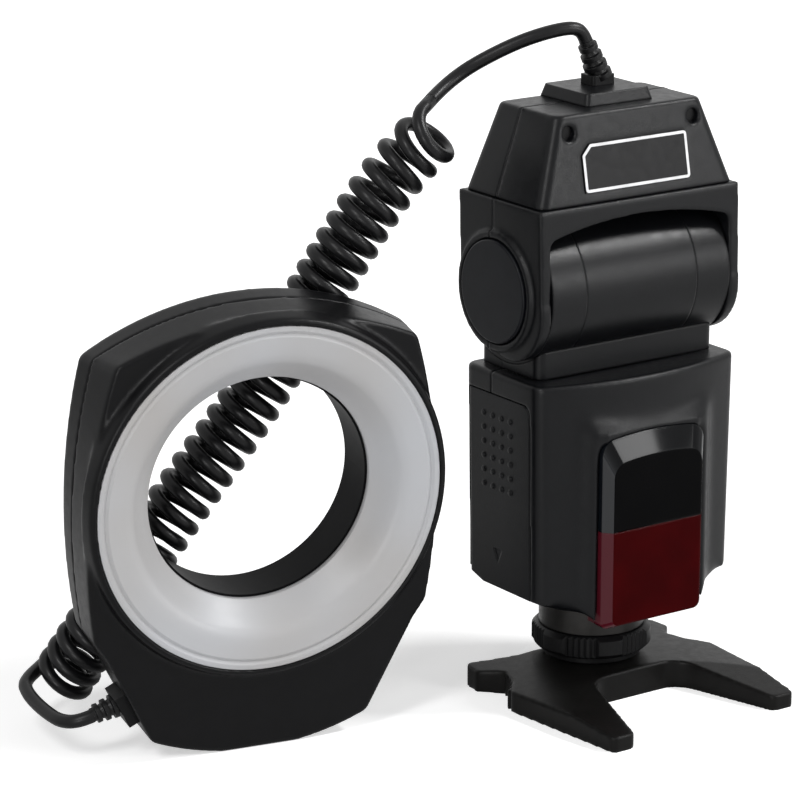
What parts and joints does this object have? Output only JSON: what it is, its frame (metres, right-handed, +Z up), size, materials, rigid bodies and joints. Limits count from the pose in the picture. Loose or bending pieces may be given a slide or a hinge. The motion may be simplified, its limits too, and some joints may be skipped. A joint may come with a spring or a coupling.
{
  "type": "macro ring flash",
  "caption": "Macro ring flash: a round light head with a lens bore, a long curly cord and a battery power unit whose tilting head stands on a hot shoe mini stand.",
  "frame": {"origin": "on the floor at the mouth of the stand's tripod thread, under the middle of the power unit's foot", "axes": "+Z up, the power unit's front faces -Y, the ring head stands to its left at -X"},
  "size_m": [0.2103, 0.123, 0.2045],
  "materials": {
    "unit_plastic": "matte",
    "stand_plastic": "matte",
    "ring_plastic": "satin",
    "cap_plastic": "satin",
    "gloss_black": "gloss",
    "gloss_red": "gloss",
    "diffuser_plastic": "frosted",
    "rubber": "matte",
    "button_plastic": "satin",
    "lamp_plastic": "gloss",
    "light_metal": "satin",
    "brass": "satin",
    "steel": "satin",
    "cell_jacket": "satin",
    "board": "satin",
    "capacitor_sleeve": "satin",
    "reflector_metal": "mirror",
    "glass": "clear"
  },
  "bodies": {
    "stand": {"stand_base": "stand_plastic", "stand_insert": "brass"},
    "unit": {"foot_plate": "steel", "foot_contacts": "brass", "foot_block": "light_metal", "body_front_shell": "unit_plastic", "body_rear_shell": "unit_plastic", "window_black": "gloss_black", "window_red": "gloss_red", "battery_cells": "cell_jacket", "battery_holder": "cap_plastic", "battery_contacts": "steel", "flash_board": "board", "control_board": "board", "capacitor": "capacitor_sleeve", "control_panel": "cap_plastic", "level_lights": "lamp_plastic", "body_screws": "steel"},
    "ring_nut": {"lock_ring": "cap_plastic"},
    "door_runner": {"door_pin": "steel"},
    "door": {"battery_door": "unit_plastic", "door_contacts": "steel"},
    "switch": {"power_switch": "button_plastic"},
    "test_key": {"test_button": "button_plastic"},
    "mode_key": {"mode_button": "button_plastic"},
    "plus_key": {"plus_button": "button_plastic"},
    "minus_key": {"minus_button": "button_plastic"},
    "neck": {"neck_front": "unit_plastic", "neck_rear": "unit_plastic", "swivel_spigot": "cap_plastic", "swivel_retainer": "steel", "drum_middle": "unit_plastic", "drum_end_left": "unit_plastic", "drum_end_right": "unit_plastic", "pivot_shaft": "steel", "lead_cord": "rubber", "curly_cord": "rubber"},
    "head": {"yoke_front_shell": "unit_plastic", "yoke_rear_shell": "unit_plastic", "pivot_cap_left": "cap_plastic", "pivot_cap_right": "cap_plastic", "hood_front_shell": "unit_plastic", "hood_rear_shell": "unit_plastic", "label_plate": "cap_plastic", "hood_screws": "steel", "cable_saddle": "unit_plastic", "head_gland": "cap_plastic", "head_relief": "rubber"},
    "ring_head": {"ring_front_housing": "ring_plastic", "ring_rear_cover": "ring_plastic", "ring_bezel": "ring_plastic", "ring_diffuser": "diffuser_plastic", "ring_bore_tube": "gloss_black", "ring_reflector": "reflector_metal", "flash_tubes": "glass", "ring_board": "board", "ring_screws": "steel", "ring_gland": "cap_plastic", "ring_relief": "rubber", "tail_cord": "rubber"}
  },
  "joints": [
    {"name": "foot_slide", "type": "slide", "parent": "stand", "child": "unit", "axis": [0, 1, 0], "range_m": [0, 0.022]},
    {"name": "lock_ring_turn", "type": "hinge", "parent": "unit", "child": "ring_nut", "pos_m": [0, 0, 0.015], "axis": [0, 0, 1], "range_deg": [0, 270]},
    {"name": "battery_door_slide", "type": "slide", "parent": "unit", "child": "door_runner", "axis": [0, 0, -1], "range_m": [0, 0.004]},
    {"name": "battery_door_swing", "type": "hinge", "parent": "door_runner", "child": "door", "pos_m": [-0.03476, 0.0118, 0.066], "axis": [0, 0, -1], "range_deg": [0, 60]},
    {"name": "power_switch_slide", "type": "slide", "parent": "unit", "child": "switch", "axis": [1, 0, 0], "range_m": [0, 0.005]},
    {"name": "test_button_press", "type": "slide", "parent": "unit", "child": "test_key", "axis": [0, -1, 0], "range_m": [0, 0.0008], "stiffness_N_per_m": 300},
    {"name": "mode_button_press", "type": "slide", "parent": "unit", "child": "mode_key", "axis": [0, -1, 0], "range_m": [0, 0.0008], "stiffness_N_per_m": 300},
    {"name": "plus_button_press", "type": "slide", "parent": "unit", "child": "plus_key", "axis": [0, -1, 0], "range_m": [0, 0.0008], "stiffness_N_per_m": 300},
    {"name": "minus_button_press", "type": "slide", "parent": "unit", "child": "minus_key", "axis": [0, -1, 0], "range_m": [0, 0.0008], "stiffness_N_per_m": 300},
    {"name": "swivel", "type": "hinge", "parent": "unit", "child": "neck", "pos_m": [0, 0, 0.103], "axis": [0, 0, 1], "range_deg": [-90, 180]},
    {"name": "head_tilt", "type": "hinge", "parent": "neck", "child": "head", "pos_m": [0, 0, 0.128], "axis": [1, 0, 0], "range_deg": [0, 90]},
    {"name": "ring_pull", "type": "slide", "parent": "neck", "child": "ring_head", "axis": [-1, 0, 0], "range_m": [0, 0.12]}
  ]
}
